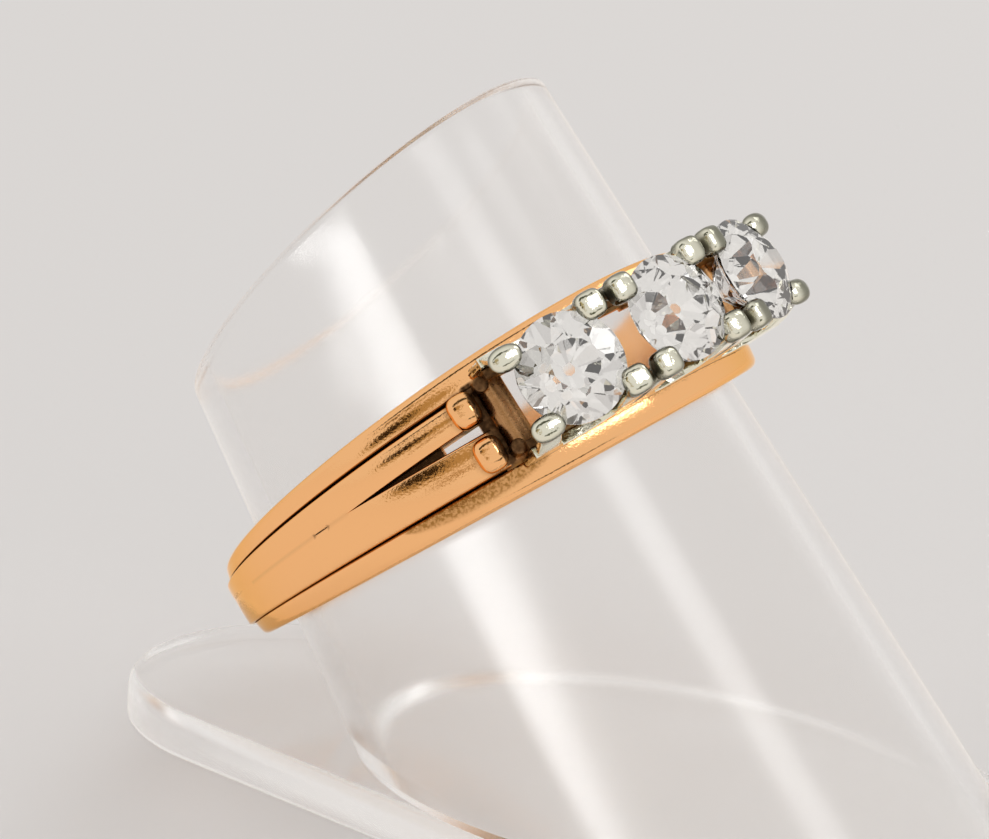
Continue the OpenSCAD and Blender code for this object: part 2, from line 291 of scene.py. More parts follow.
# %% The strands
STRAND_STEPS = 520
STRAND_LIP = (0.2, 0.05)
STRAND_CROWN = (CROWN, CROWN / 4)
STRAND_END = STONE_PITCH + radians(14.4)
STRAND_RISE = 0.7
STRAND_BACK = 0.05
STRAND_OFF = (STRAND_RISE - STRAND_BACK) / (1 + cos(STRAND_END))
STRAND_R = OUTER_R + STRAND_BACK + STRAND_OFF
SLOT_START = radians(66)
SLOT_TAIL = OUTER_R * cos(SLOT_START)
SLOT_MOUTH = (OUTER_R + STRAND_RISE) * cos(STRAND_END)
SLOT_HALF = 0.22
DASH_FROM, DASH_TO = radians(71.5), radians(75)


def strand_top(angle):
    """Radius of a circle that is pushed towards the head, seen from the ring's axis."""
    return STRAND_OFF * np.cos(angle) + np.sqrt(STRAND_R**2 - (STRAND_OFF * np.sin(angle)) ** 2)


def slot_edge(angle):
    """Half the slot's width: it grows evenly with x, and is a slight overlap behind its tail."""
    x = strand_top(angle) * np.cos(angle)
    return SLOT_HALF * np.clip((x - SLOT_TAIL) / (SLOT_MOUTH - SLOT_TAIL), 0, 1) - 0.012


def inner_round(angle):
    """Rounding of a strand's inner edge: soft beside the slot, and behind it only along one short dash."""
    turned_by = from_head(angle)
    dash = smooth_step(DASH_FROM, DASH_FROM + 0.012, turned_by)
    dash *= 1 - smooth_step(DASH_TO - 0.012, DASH_TO, turned_by)
    return 0.016 + 0.05 * dash + 0.13 * np.clip(slot_edge(angle), 0, None) / SLOT_HALF


def strand(side):
    """A strand: a closed loop from the bore, up the groove, over the crowned top and down the slot's wall."""
    angle = np.linspace(STRAND_END, 2 * pi - STRAND_END, STRAND_STEPS)
    half = closing(GROOVE_HALF[side], angle)
    depth = closing(GROOVE_DEPTH[side], angle)
    lip = closing(STRAND_LIP, angle)
    crown = closing(STRAND_CROWN, angle)
    soft = inner_round(angle)
    top = strand_top(angle)
    inner = side * HEAD_SHIFT + slot_edge(angle)
    groove = plane(GROOVE_SHARE, OUTER_R, angle)
    outer = groove - half
    rows = []

    def add(z, r):
        rows.append(polar(r, angle, side * z))

    add(groove + LAP, BORE_R)
    add(groove + LAP, OUTER_R - depth - LAP - 0.01)
    add(groove + 0.004, OUTER_R - depth - 0.006)
    add(groove - 0.8 * half, OUTER_R - 0.65 * depth)
    for t in np.linspace(0, pi / 2, 7):
        add(outer - lip * (1 - cos(t)), top - lip * (1 - sin(t)))
    for t in np.linspace(0.1, 0.9, 7):
        add(outer - lip + (inner + soft - outer + lip) * t, top + crown * (1 - (2 * t - 1) ** 2))
    for t in np.linspace(0, pi / 2, 6):
        add(inner + soft * (1 - sin(t)), top - soft * (1 - cos(t)))
    add(inner, top - 0.4)
    add(inner, BORE_R)
    return skin("strand", np.stack(rows, axis=1), False, RING_FRAME)


strands = [strand(side) for side in (-1, 1)]
print("strand points:", len(strands[0].data.vertices))

# %% [markdown]
# Each strand ends in a little pillow of gold, hammered round. A superellipsoid is the natural surface: a
# sphere whose sine and cosine are raised to a power, so it can be fuller than a ball and still be round.

# %% The pillow tips
TIP_ANGLE = STRAND_END + radians(2.2)
TIP_TOP = 10.45
TIP_SIZES = (0.56, 0.52, 0.62)


def pillow(centre, sizes, power, place, rows=28, cols=40):
    """A superellipsoid: x, y and z are sizes times bent cosines and sines of two angles, denser at its poles.
    The two rows that lie in the poles are left out, and the skin's caps close it there."""
    up = pi / 2 * np.sin(np.linspace(-pi / 2, pi / 2, rows))[:, None]
    around = np.linspace(0, 2 * pi, cols, endpoint=False)[None, :]
    x = sizes[0] * bent(np.sin(up), power) * np.ones_like(around)
    y = sizes[1] * bent(np.cos(up), power) * bent(np.cos(around), power)
    z = sizes[2] * bent(np.cos(up), power) * bent(np.sin(around), power)
    grid = np.stack([x, y, z], axis=-1) + np.array(centre)
    return skin("pillow", grid[1:-1], False, place)


def turned(angle):
    """The ring's frame turned so that X points at an angle round the band."""
    return RING_FRAME @ Matrix.Rotation(angle, 4, "Z")


def tip_height(side):
    """A tip lies midway between the slot's wall and the groove."""
    return side * (side * HEAD_SHIFT + SLOT_HALF + plane(GROOVE_SHARE, OUTER_R, TIP_ANGLE)) / 2


tips = [pillow((TIP_TOP, 0, tip_height(side)), TIP_SIZES, 2.9, turned(hand * TIP_ANGLE))
        for hand in (-1, 1) for side in (-1, 1)]
print("tips:", len(tips))

# %% [markdown]
# ## The gallery
# Under the stones stand two thin walls of yellow gold, pierced with an arch under each stone and slit between
# the stones. Each is a ribbon between a lower and an upper edge, and both edges are functions of the angle.

# %% The pierced walls
PLATE_IN = 1.55
PLATE_T = 0.36
SEAM = 0.03
WALL_T = 0.32
WALL_TOP = 11.5
BAR_ANGLE = STRAND_END - radians(4.3)
HEAD_END = BAR_ANGLE + radians(0.6)
ARCH_R = 1.35
SLIT_HALF = 0.18
SLIT_BOTTOM = WALL_TOP - 0.5
WALL_IN, WALL_OUT = PLATE_IN - SEAM - WALL_T, PLATE_IN - SEAM
ARCH_LIMIT = 10.3
SHEET_EDGE = 0.04


def ribbon(name, angle, low, high, inner, outer):
    """A strip between the edge curves low and high, arrays over angle, from height inner to outer."""
    edge = SHEET_EDGE * np.sign(outer - inner)

    def face(steps, z):
        return [polar(low + SHEET_EDGE + (high - low - 2 * SHEET_EDGE) * t, angle, z) for t in steps]

    rows = [polar(low, angle, inner + edge)] + face(np.linspace(0, 1, 6), inner)
    rows += [polar(high, angle, inner + edge), polar(high, angle, outer - edge)]
    rows += face(np.linspace(1, 0, 6), outer) + [polar(low, angle, outer - edge)]
    return skin(name, np.stack(rows, axis=1), False, RING_FRAME)


def from_stone(angle):
    """Angle measured from the nearest stone."""
    nearest = np.clip(np.round(angle / STONE_PITCH), -1, 1)
    return angle - nearest * STONE_PITCH


def arch_edge(angle):
    """The wall's lower edge: the bore, raised to a circle under each stone."""
    off = np.abs(from_stone(angle))
    across = BORE_R * np.sin(off)
    arch = BORE_R * np.cos(off) + np.sqrt(np.clip(ARCH_R**2 - across**2, 0, None))
    return np.where(across < ARCH_R, arch, BORE_R)


def slit_edge(angle, top, bottom):
    """The wall's upper edge: a level top with a slit, round at its bottom, between the stones."""
    off = np.abs(np.abs(angle) - STONE_PITCH / 2) * bottom
    floor = bottom + SLIT_HALF - np.sqrt(np.clip(SLIT_HALF**2 - off**2, 0, None))
    return np.where(off < SLIT_HALF, np.minimum(floor, top), top)


# Each side of a slit gets a close pair of angles, so that the step there stays upright.
slit_sides = [hand * (STONE_PITCH / 2 + d * SLIT_HALF / SLIT_BOTTOM) for hand in (-1, 1) for d in (-1, 1)]
pairs = [side + close for side in slit_sides for close in (-1e-4, 1e-4)]
head_angles = np.unique(np.concatenate([np.linspace(-HEAD_END, HEAD_END, 260), pairs]))
low = np.minimum(arch_edge(head_angles), ARCH_LIMIT)
high = slit_edge(head_angles, WALL_TOP, SLIT_BOTTOM)
walls = [ribbon("wall", head_angles, low, high, HEAD_SHIFT + side * WALL_IN, HEAD_SHIFT + side * WALL_OUT)
         for side in (-1, 1)]
print("walls:", len(walls))

# %% [markdown]
# The head sits a little off the middle of the band. The far wall stands in its rail, and a flat shelf joins
# the near wall to the near rail. At each end of the head a round bar, two small posts and a low floor close
# the gallery. They are plain pieces of wire and sheet, so plain sweeps draw them.

# %% Shelves, floors, bars and posts
FLOOR_R = 9.62
SHELF_OUT = 0.13
WEB_FROM, WEB_TO, WEB_HALF = radians(71), radians(45), 0.25
BAR_R = 0.5
BAR_PLACE = 10.14
BAR_HALF = 1.36
POST_R = 0.27
POST_FOOT, POST_TOP = 9.1, 10.98
ROD_POINTS, ROD_END_ROWS = 32, 5


def slab(name, stop, start, low, high, z_low, z_high, count=60):
    """A curved slab, a box in radius, angle and height. z_low and z_high may be functions of the angle."""
    angle = np.linspace(start, stop, count)
    corners = [(low, z_low), (high, z_low), (high, z_high), (low, z_high)]
    rows = [polar(r, angle, z(angle) if callable(z) else z) for r, z in corners]
    return skin(name, np.stack(rows, axis=1), False, RING_FRAME)


def rod(name, start, end, radius, place):
    """A round rod: at each end its radius and its place along the axis follow a quarter circle."""
    start, end = np.array(start, float), np.array(end, float)
    along = (end - start) / np.linalg.norm(end - start)
    askew = [0.3, 0.5, 0.81]
    side = np.cross(along, askew)
    side /= np.linalg.norm(side)
    other = np.cross(along, side)
    turn = np.linspace(0, pi / 2, ROD_END_ROWS)
    soft = 0.35 * radius
    size = radius - soft + soft * np.concatenate([np.sin(turn), np.sin(turn)[::-1]])
    shift = soft * np.concatenate([1 - np.cos(turn), np.cos(turn)[::-1] - 1])
    base = np.repeat(np.stack([start, end]), ROD_END_ROWS, 0)
    centre = base + shift[:, None] * along
    around = np.linspace(0, 2 * pi, ROD_POINTS, endpoint=False)
    spokes = np.cos(around)[:, None] * side + np.sin(around)[:, None] * other
    return skin(name, centre[:, None] + size[:, None, None] * spokes[None], False, place)


def beside_groove(side):
    """Height of a line just outside the groove plane, as a function of the angle."""
    return lambda angle: side * (plane(GROOVE_SHARE, OUTER_R, angle) + SHELF_OUT)


base_parts = [slab("shelf", STRAND_END + 0.007, -STRAND_END - 0.007, BORE_R, OUTER_R - 0.06,
                   HEAD_SHIFT - (WALL_OUT - 0.02), beside_groove(-1))]
for hand in (-1, 1):
    stop = hand * (STRAND_END + radians(1))
    start = hand * (BAR_ANGLE + radians(0.2))
    base_parts.append(slab("floor", stop, hand * BAR_ANGLE, BORE_R, FLOOR_R, HEAD_SHIFT - WALL_IN - 0.1,
                           HEAD_SHIFT + WALL_IN + 0.1, 12))
    base_parts.append(slab("web", hand * WEB_FROM, hand * WEB_TO, BORE_R + 0.01, OUTER_R - 0.34,
                           HEAD_SHIFT - WEB_HALF, HEAD_SHIFT + WEB_HALF, 30))
    for side in (-1, 1):
        base_parts.append(slab("ledge", stop, start, BORE_R, OUTER_R - 0.064, HEAD_SHIFT + side * WALL_IN,
                               beside_groove(side), 12))
    base_parts.append(rod("bar", (BAR_PLACE, 0, HEAD_SHIFT - BAR_HALF), (BAR_PLACE, 0, HEAD_SHIFT + BAR_HALF),
                          BAR_R, turned(hand * BAR_ANGLE)))
    for side in (-1, 1):
        z = HEAD_SHIFT + side * WALL_IN
        base_parts.append(rod("post", (POST_FOOT, 0, z), (POST_TOP, 0, z), POST_R,
                              turned(hand * (BAR_ANGLE + radians(1.6)))))
print("gallery parts:", len(base_parts))

# %% [markdown]
# Soldering makes one piece of all this gold. A boolean union does the same to the meshes: what lies inside
# the metal is gone, and one closed skin is left.

# %% Solder the shank together
shank = rails[0]
shank.name = "gold_shank"
combine(shank, rails[1:] + strands + tips + walls + base_parts)
shade(shank, 32)
print("shank faces:", len(shank.data.polygons))

# %% [markdown]
# ## The white gold setting
# Each side of the setting is one plate: a strip with a scallop under each girdle, and six claws that rise
# from it. A claw is a section carried along a path. The section is a rounded rectangle, and near the top it
# closes to a pillow that leans in over the stone.

# %% Claws and plates
CLAW_HALF = 0.46
CLAW_OUT = 1.66
HEAD_R = 12.95
LEG_TOP = 12.85
LEG_FOOT = 9.95
SCALLOP_R = CLAW_OUT - CLAW_HALF + 0.03
SCALLOP_BOTTOM = OUTER_R + 0.4


def claw_leg(stone, out, side):
    """A leg: a superellipse in section, whose inner and outer faces follow two curves of the height."""
    end = stone == out
    height = np.linspace(LEG_FOOT, LEG_TOP, 26)
    rise = smooth_step(WALL_TOP + 0.1, HEAD_R, height)
    inner = 0.004 - (0.34 + 0.16 * end) * rise
    outer = PLATE_T - 0.004 - (0.1 + 0.2 * end) * rise
    half = CLAW_HALF - (0.03 + 0.06 * end) * rise
    around = np.linspace(0, 2 * pi, 36, endpoint=False)
    along = out * CLAW_OUT + half[:, None] * bent(np.cos(around), 5)
    across = (outer + inner)[:, None] / 2 + (outer - inner)[:, None] / 2 * bent(np.sin(around), 5)
    across = HEAD_SHIFT + side * (PLATE_IN + across)
    grid = np.stack(np.broadcast_arrays(height[:, None], along, across), axis=-1)
    return skin("leg", grid, False, turned(stone * STONE_PITCH))


def claw_head(stone, out, side):
    """The head is a squarish pillow. The four at the ends of the row are smaller and lean further in."""
    end = stone == out
    sizes = (0.34, 0.62, 0.44) if end else (0.42, 0.51, 0.5)
    lean = 0.22 if end else 0.1
    across = HEAD_SHIFT + side * (PLATE_IN - lean)
    centre = (HEAD_R - 0.02 * end, out * (CLAW_OUT + 0.02 + 0.08 * end), across)
    return pillow(centre, sizes, 2.3 if end else 3.2, turned(stone * STONE_PITCH), rows=36, cols=48)


def scallop_edge(angle):
    """Upper edge of the strip: a round dip under each girdle, and a slit between neighbours."""
    off = from_stone(angle)
    centre = SCALLOP_BOTTOM + SCALLOP_R
    across = np.clip(np.abs(centre * np.sin(off)), 0, SCALLOP_R - 1e-3)
    dip = centre * np.cos(off) - np.sqrt(SCALLOP_R**2 - across**2)
    level = slit_edge(angle, GIRDLE_R - 1.2, SLIT_BOTTOM)
    return np.minimum(np.where(np.abs(centre * np.sin(off)) < SCALLOP_R, dip, level), level)


def stone_place(stone):
    """Where a stone sits: its axis points out of the ring, its girdle on the girdle circle."""
    return (turned(stone * STONE_PITCH) @ Matrix.Translation((GIRDLE_R, 0, HEAD_SHIFT))
            @ Matrix.Rotation(radians(90), 4, "Y"))


# %% [markdown]
# ## The stones
# A lapidary starts with a round blank and grinds one flat after another. The mesh is made the same way: a
# round column is cut by one plane for each facet. Old European stones have a small table, a high crown, a
# deep pavilion and an open culet, the little flat at the bottom that shows as a circle through the table.

# %% Cut a stone
CROWN_H = 0.66
PAVILION_H = 1.68
GIRDLE_T = 0.07
TABLE_R = 0.9
CULET_R = 0.2
STAR_SLOPE = 0.62
UPPER_SLOPE, UPPER_TURN = 1.16, radians(11.2)
LOWER_SLOPE, LOWER_TURN = 1.045, radians(11.4)
BLANK_SIDES = 72
WOBBLE = 0.012


def facet_planes(wobble, seed):
    """Each facet as (normal, distance): table, culet, 8 kites, 8 stars, 16 + 16 halves and 8 mains."""
    draw = np.random.default_rng(seed)
    top = GIRDLE_T / 2 + CROWN_H
    bottom = GIRDLE_T / 2 + PAVILION_H
    planes = [(np.array([0, 0, 1.0]), top), (np.array([0, 0, -1.0]), bottom)]

    def add(azimuth, slope, point_r, point_z, sign):
        azimuth = azimuth + wobble * draw.normal()
        slope = slope + wobble * draw.normal() * 0.4
        normal = np.array([cos(azimuth) * sin(slope), sin(azimuth) * sin(slope), sign * cos(slope)])
        point = np.array([cos(azimuth) * point_r, sin(azimuth) * point_r, point_z])
        planes.append((normal, float(normal @ point)))

    star_r = TABLE_R * cos(radians(22.5))
    kite = atan(CROWN_H / (STONE_R - star_r * 1.02))
    for k in range(8):
        at = radians(45 * k)
        add(at + radians(22.5), kite, STONE_R, GIRDLE_T / 2, 1)
        add(at, kite * STAR_SLOPE, star_r, top, 1)
        for off in (UPPER_TURN, -UPPER_TURN):
            add(at + off, kite * UPPER_SLOPE, STONE_R, GIRDLE_T / 2 - 0.01, 1)
    main = atan(PAVILION_H / (STONE_R - CULET_R))
    for k in range(8):
        at = radians(45 * k + 22.5)
        add(at, main, STONE_R, -GIRDLE_T / 2, -1)
        for off in (LOWER_TURN, -LOWER_TURN):
            add(at + off, main * LOWER_SLOPE, STONE_R, -GIRDLE_T / 2 + 0.012, -1)
    return planes


def cut_stone(name, place, grow=0.0, spin=0.0, seed=1, wobble=0.0):
    """Cuts a many-sided blank with one plane a facet and caps each cut."""
    blank = bmesh.new()
    radius = STONE_R + grow
    bmesh.ops.create_cone(blank, cap_ends=True, segments=BLANK_SIDES, radius1=radius, radius2=radius,
                          depth=2 * (PAVILION_H + 0.3))
    for normal, distance in facet_planes(wobble, seed):
        normal = Vector(normal)
        cut = bmesh.ops.bisect_plane(blank, geom=blank.verts[:] + blank.edges[:] + blank.faces[:],
                                     plane_co=normal * (distance + grow), plane_no=normal,
                                     clear_outer=True, dist=1e-6)
        rim = [e for e in cut["geom_cut"] if isinstance(e, bmesh.types.BMEdge)]
        if rim:
            bmesh.ops.edgeloop_fill(blank, edges=rim)
    bmesh.ops.remove_doubles(blank, verts=blank.verts, dist=2e-3)
    bmesh.ops.recalc_face_normals(blank, faces=blank.faces)
    blank.transform(Matrix.Scale(MM, 4) @ place @ Matrix.Rotation(spin, 4, "Z"))
    mesh = bpy.data.meshes.new(name)
    blank.to_mesh(mesh)
    blank.free()
    return add_object(name, mesh)


STONE_NAMES = {-1: "stone_left", 0: "stone_middle", 1: "stone_right"}
stones = {}
for stone, node in STONE_NAMES.items():
    name = node.replace("stone_", "diamond_")
    stones[stone] = cut_stone(name, stone_place(stone), spin=radians(17 * stone + 5), seed=stone + 5,
                              wobble=WOBBLE)
print("facets on a stone:", len(stones[0].data.polygons))

# %% [markdown]
# The claws are cut to seat the stones: each plate loses a copy of every stone that is a hair larger.

# %% Solder and seat the two sides of the setting
PLATE_NAMES = {-1: "claw_plate_near", 1: "claw_plate_far"}
plates = []
for side, node in PLATE_NAMES.items():
    inner = HEAD_SHIFT + side * PLATE_IN
    strip = ribbon("white_gold_" + node, head_angles, np.full_like(head_angles, OUTER_R + SEAM),
                   scallop_edge(head_angles), inner, inner + side * PLATE_T)
    claws = [make(stone, out, side) for stone in STONE_NAMES for out in (-1, 1)
             for make in (claw_leg, claw_head)]
    combine(strip, claws)
    seats = [cut_stone("seat", stone_place(stone), grow=0.02) for stone in STONE_NAMES]
    combine(strip, seats, "DIFFERENCE")
    shade(strip, 35)
    plates.append(strip)
    print(strip.name, "faces:", len(strip.data.polygons))

# %% [markdown]
# ## The clear stand
# The stand is a tapered tube of clear plastic with a slanted, slightly rounded end, glued on a flat tongue.
# The tube's ends are found by following each line along it until it meets the foot's plane or the plane of
# the cut.

# %% The tube
FOOT_SEAM = 0.03
RIM = 0.16
TUBE_LINES = 240
TUBE_ROWS = 24


def tube_line(radius_at_root, around):
    """Start and direction of the lines along a cone, one for each angle around the axis."""
    ray = np.stack([np.cos(around), np.sin(around), np.zeros_like(around)], axis=-1)
    return radius_at_root * ray, np.array([0, 0, 1.0]) - tan(TAPER) * ray


def meet(line, normal, distance):
    """Where each line start + t direction crosses the plane with that normal and distance."""
    start, direction = line
    t = (distance - start @ normal) / (direction @ normal)
    return start + t[:, None] * direction


def tube():
    """Outer and inner cone from the foot's plane to the slanted cut, where quarter circles round the rim."""
    around = np.linspace(0, 2 * pi, TUBE_LINES, endpoint=False)
    cut = np.array([-sin(CUT_SLANT), 0, cos(CUT_SLANT)])
    cut_at = TUBE_LEN * cos(CUT_SLANT)
    floor = np.array([cos(LEAN), 0, sin(LEAN)])
    inner_r = TUBE_R - TUBE_WALL

    def wall(radius):
        line = tube_line(radius, around)
        return meet(line, floor, FOOT_SEAM), meet(line, cut, cut_at - RIM)

    def between(start, stop):
        return [start + (stop - start) * t for t in np.linspace(0, 1, TUBE_ROWS)]

    def rim(radius, t):
        return meet(tube_line(radius, around), cut, cut_at - RIM * (1 - sin(t)))

    outer_low, outer_high = wall(TUBE_R)
    inner_low, inner_high = wall(inner_r)
    rows = between(outer_low, outer_high)
    rows += [rim(TUBE_R - RIM * (1 - cos(t)), t) for t in np.linspace(0.2, pi / 2, 5)]
    rows += [rim(inner_r + RIM * (1 - cos(t)), t) for t in np.linspace(pi / 2, 0.2, 5)]
    rows += between(inner_high, inner_low)
    return skin("clear_tube", np.stack(rows, axis=1), True, TUBE_FRAME)


clear_tube = tube()
shade(clear_tube, 40)
print("tube points:", len(clear_tube.data.vertices))

# %% [markdown]
# The foot is a tongue: two circles of different size and the two lines that touch both. Its outline is the
# same function of the angle all round, and the section carries a soft edge at top and bottom.

# %% The foot
FOOT_BACK_R = TUBE_R + 0.8
FOOT_BACK_X = 3.116
FOOT_FRONT_R = 6.4
FOOT_REACH = 21
FOOT_TOP_SOFT = 0.5
FOOT_LOW_SOFT = 0.25
FLAT_INSET = 2.0
BACK_POINTS = 120
FRONT_POINTS = 72


def foot():
    """Each point of the outline has a normal angle, which says whose circle the point lies on."""
    front_x = FOOT_FRONT_R - FOOT_REACH
    swing = pi / 2 + asin((FOOT_BACK_R - FOOT_FRONT_R) / (FOOT_BACK_X - front_x))
    counts = (BACK_POINTS, FRONT_POINTS)
    angle = np.concatenate([np.linspace(-swing, swing, BACK_POINTS),
                            np.linspace(swing, 2 * pi - swing, FRONT_POINTS)])
    radius = np.repeat((FOOT_BACK_R, FOOT_FRONT_R), counts)
    centre = np.repeat((FOOT_BACK_X, front_x), counts)
    rows = []

    def ring_at(inset, z):
        x = centre + (radius - inset) * np.cos(angle)
        rows.append(np.stack([x, (radius - inset) * np.sin(angle), np.full_like(x, z)], axis=-1))

    ring_at(FLAT_INSET, 0)
    for t in np.linspace(0, pi / 2, 6):
        ring_at(FOOT_LOW_SOFT * (1 - sin(t)), FOOT_LOW_SOFT * (1 - cos(t)))
    for t in np.linspace(0, pi / 2, 9):
        ring_at(FOOT_TOP_SOFT * (1 - cos(t)), FOOT_T - FOOT_TOP_SOFT * (1 - sin(t)))
    ring_at(FLAT_INSET, FOOT_T)
    return skin("clear_foot", np.stack(rows, axis=0), False)


clear_foot = foot()
shade(clear_foot, 40)
print("foot points:", len(clear_foot.data.vertices))

# %% [markdown]
# Each finished piece stands for one node of the construction, takes one of its four materials, and rides on
# the ring's one body.

# %% Hand each piece over
dressed = [(stones[stone], node, "diamond") for stone, node in STONE_NAMES.items()]
dressed += [(plate, node, "white_gold") for plate, node in zip(plates, PLATE_NAMES.values())]
dressed += [(shank, "shank", "yellow_gold"), (clear_tube, "stand_tube", "clear_acrylic"),
            (clear_foot, "stand_foot", "clear_acrylic")]
for piece, node, slot in dressed:
    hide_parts(node)
    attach(piece, "root")
print("pieces:", [piece.name for piece, node, slot in dressed])

# %% [markdown]
# ## Painted shade on the gold
# The gold's colour is darkened to paint the shade in the grooves, in the slot, round the tips and inside the
# head, and the bars at the head's ends are darkened to paint a dark reflection. How dark each point is can be
# worked out from its place in the ring, and it is kept on the mesh as an attribute that the material reads.

# %% Painted shade for every point of the gold
RING_BACK = RING_FRAME.inverted()
SEAM_END = radians(100)
# Where the painted reflection on the near rail starts, and how far round it runs.
REFLECTION_FROM, REFLECTION_SPAN = radians(26), radians(34)


def ring_places(piece):
    """Radius, angle from the head and height of each point of a piece, in the ring's own frame, in mm."""
    points = np.empty(len(piece.data.vertices) * 3)
    piece.data.vertices.foreach_get("co", points)
    points = points.reshape(-1, 3) / MM @ np.array(RING_BACK.to_3x3()).T + np.array(RING_BACK.translation)
    x, y, z = points.T
    return np.hypot(x, y), np.arctan2(y, x), z


def keep_mask(piece, name, values):
    """Stores one number between 0 and 1 for each point."""
    layer = piece.data.attributes.new(name, "FLOAT", "POINT")
    layer.data.foreach_set("value", np.clip(values, 0, 1).astype(np.float32))


def groove_mask(r, angle, z):
    """Painted shade at the bottom of both grooves, and a little less on a strand's flank beside the rail."""
    mask = np.zeros_like(r)
    for side in (-1, 1):
        off = np.abs(side * z - plane(GROOVE_SHARE, r, angle)) / closing(GROOVE_HALF[side], angle)
        sunk = smooth_step(-0.01, 0.09, OUTER_R - CROWN - 0.02 - r)
        low = (1 - smooth_step(0, 0.12, r - OUTER_R)) * smooth_step(0.04, 0.2, strand_top(angle) - r)
        mask = np.maximum(mask, (1 - smooth_step(1.2, 1.7, off)) * sunk)
        mask = np.maximum(mask, 0.8 * (1 - smooth_step(1.0, 1.5, off)) * low)
    return mask * (r > BORE_R + 0.05)


def slot_mask(r, angle, z):
    """Painted shade in the slot; behind it a faint dark seam line, dark once more in the short dash."""
    turned_by = from_head(angle)
    beside = np.abs(z - HEAD_SHIFT) - slot_edge(angle)
    slot = (1 - smooth_step(0.03, 0.09, beside)) * smooth_step(0.03, 0.22, strand_top(angle) - r)
    slot *= (turned_by < DASH_TO + 0.02) & (r > BORE_R + 0.05)
    seam = (np.abs(z - HEAD_SHIFT) < 0.024) & (turned_by > SLOT_START) & (r > OUTER_R - 0.3)
    seam &= turned_by < SEAM_END
    dash = smooth_step(DASH_FROM - 0.01, DASH_FROM, turned_by)
    dash *= 1 - smooth_step(DASH_TO, DASH_TO + 0.01, turned_by)
    return np.maximum(slot, seam * (0.1 + 0.85 * dash))


def tip_mask(r, angle, z):
    """Painted shade in a ring round each pillow tip where it meets the strand: a band of an ellipse's
    distance.
    """
    turned_by = from_head(angle)
    mask = np.zeros_like(r)
    for side in (-1, 1):
        away = np.hypot((turned_by - TIP_ANGLE) * r / 0.56, (z - tip_height(side)) / 0.6)
        ring = smooth_step(0.7, 0.95, away) * (1 - smooth_step(1.0, 1.35, away))
        mask = np.maximum(mask, ring * (1 - smooth_step(TIP_TOP - 0.1, TIP_TOP + 0.3, r)))
    return 0.9 * mask


def head_mask(r, angle, z):
    """Painted shade inside the head, and a painted dark reflection, about half as dark, on the two bars at
    its ends.
    """
    turned_by = from_head(angle)
    head = (turned_by < STRAND_END + 0.01) & (np.abs(z - HEAD_SHIFT) < PLATE_IN - 0.01)
    off = turned_by - BAR_ANGLE
    on_bar = head & (np.hypot(r * np.cos(off) - BAR_PLACE, r * np.sin(off)) < BAR_R + 0.04)
    return np.where(on_bar, 0.55, 0.92 * head * smooth_step(BORE_R + 0.05, BORE_R + 0.35, r))


def painted_reflection_mask(r, angle, z):
    """A leaf-shaped painted reflection on the near rail, beside the groove, from the head to the slot's tail.
    """
    along = (from_head(angle) - REFLECTION_FROM) / REFLECTION_SPAN
    share = (-z / plane(1, r, angle) - GROOVE_SHARE) / (1 - GROOVE_SHARE)
    reach = 0.66 * np.sqrt(np.clip(4 * along * (1 - along), 0, 1)) + 0.001
    leaf = (1 - smooth_step(0.7, 1.1, share / reach)) * (share > 0) * (along > 0) * (along < 1)
    return leaf * (r > OUTER_R - 0.2) * (angle < 0)


places = ring_places(shank)
masks = [mask(*places) for mask in (groove_mask, slot_mask, tip_mask, head_mask)]
# Together these masks are the painted shade of the gold, kept as one attribute.
keep_mask(shank, "painted_shade", np.maximum.reduce(masks))
keep_mask(shank, "painted_reflection", painted_reflection_mask(*places))
print("tarnish kept on", len(shank.data.vertices), "points")

# %% [markdown]
# On the white gold, shade is painted into the slits between neighbouring claws, into the seats behind the
# heads and low on the strip. A second mask marks the heads themselves.

# %% Painted shade for the setting


def plate_mask(r, angle, z):
    """Painted shade where two claws nearly touch, behind the heads, and low on the strip."""
    slit = np.abs(from_head(angle) - STONE_PITCH / 2) * r
    between = (1 - smooth_step(0.1, 0.3, slit)) * smooth_step(SLIT_BOTTOM - 0.2, SLIT_BOTTOM + 0.3, r)
    behind = smooth_step(0.12, 0.3, PLATE_IN - np.abs(z - HEAD_SHIFT))
    behind *= 1 - smooth_step(HEAD_R - 0.35, HEAD_R - 0.1, r)
    foot = 1 - smooth_step(OUTER_R + 0.05, OUTER_R + 0.25, r)
    return np.maximum.reduce([between * 0.9, behind * 0.8, foot * 0.8])


for plate in plates:
    places = ring_places(plate)
    # The setting's painted shade is kept as an attribute, as on the gold.
    keep_mask(plate, "painted_shade", plate_mask(*places))
    keep_mask(plate, "head", smooth_step(LEG_TOP - 0.45, LEG_TOP - 0.15, places[0]))
print("points of a plate:", len(plates[0].data.vertices))

# %% [markdown]
# ## Finishes
# A finish is a net of nodes. Small helpers write such a net briefly: a socket takes either a plain value or
# the output of another node that feeds it, and a new node takes all its sockets at once.

# %% Helpers for nodes


def feed(tree, node, values):
    """Gives sockets of a node, by name or number, a plain value or the output that feeds them."""
    for label, value in values.items():
        if isinstance(value, bpy.types.NodeSocket):
            tree.links.new(value, node.inputs[label])
        else:
            node.inputs[label].default_value = value


def add_node(tree, kind, values, **settings):
    """A new shader node with its settings and its sockets."""
    node = tree.nodes.new("ShaderNode" + kind)
    for name, value in settings.items():
        setattr(node, name, value)
    feed(tree, node, values)
    return node


def math_node(tree, operation, *values, clamp=False):
    """The output of a Math node."""
    node = add_node(tree, "Math", dict(enumerate(values)), operation=operation, use_clamp=clamp)
    return node.outputs[0]


def noise(tree, place, scale, detail):
    """A noise pattern in space, between about 0.3 and 0.7."""
    return add_node(tree, "TexNoise", {"Vector": place, "Scale": scale, "Detail": detail}).outputs["Fac"]


